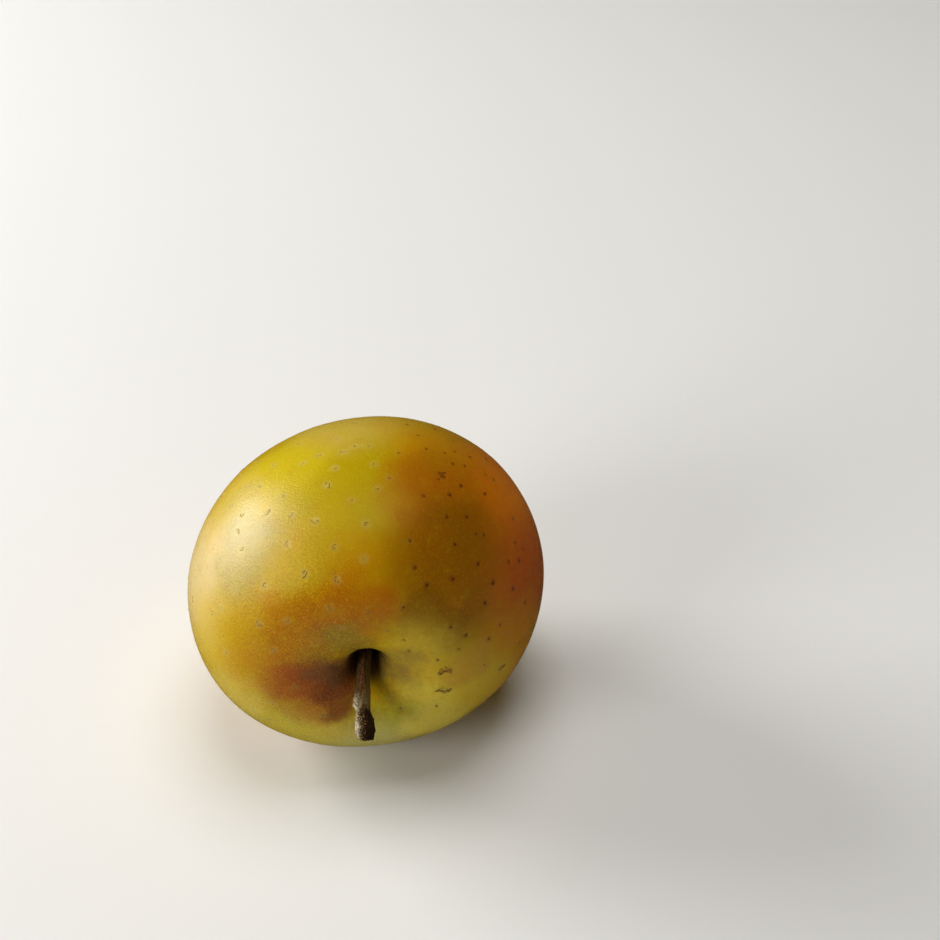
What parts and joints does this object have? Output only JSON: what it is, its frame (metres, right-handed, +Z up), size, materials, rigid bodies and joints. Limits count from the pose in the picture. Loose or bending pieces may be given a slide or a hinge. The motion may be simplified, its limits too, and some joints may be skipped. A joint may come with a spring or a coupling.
{
  "type": "ananas reinette apple",
  "caption": "Small golden heirloom apple lying on its side on a small flat spot, with a bent woody stem in a deep cavity and a dried calyx in a ribbed basin.",
  "frame": {"origin": "on the surface that the apple rests on, in the flat spot under its middle", "axes": "+Z up; -Y the way the stem end points, as the apple lies on its side; +X along its widest girth, to the right of someone facing the stem end"},
  "size_m": [0.0633, 0.0583, 0.0553],
  "materials": {
    "skin": "thin waxy satin skin, golden yellow with green, orange and dull red areas and small corky dots",
    "bark": "rough dry bark, reddish brown with cream flecks, dark broken end",
    "dried_sepal": "dry, felted, grey brown",
    "dried_stamen": "dry, dark brown"
  },
  "bodies": {
    "root": {"fruit": "skin", "stem": "bark", "sepal_1": "dried_sepal", "sepal_2": "dried_sepal", "sepal_3": "dried_sepal", "sepal_4": "dried_sepal", "sepal_5": "dried_sepal", "stamen_1": "dried_stamen", "stamen_2": "dried_stamen", "stamen_3": "dried_stamen", "stamen_4": "dried_stamen", "stamen_5": "dried_stamen", "stamen_6": "dried_stamen", "stamen_7": "dried_stamen", "stamen_8": "dried_stamen", "stamen_9": "dried_stamen", "stamen_10": "dried_stamen", "style_column": "dried_stamen"}
  },
  "joints": []
}
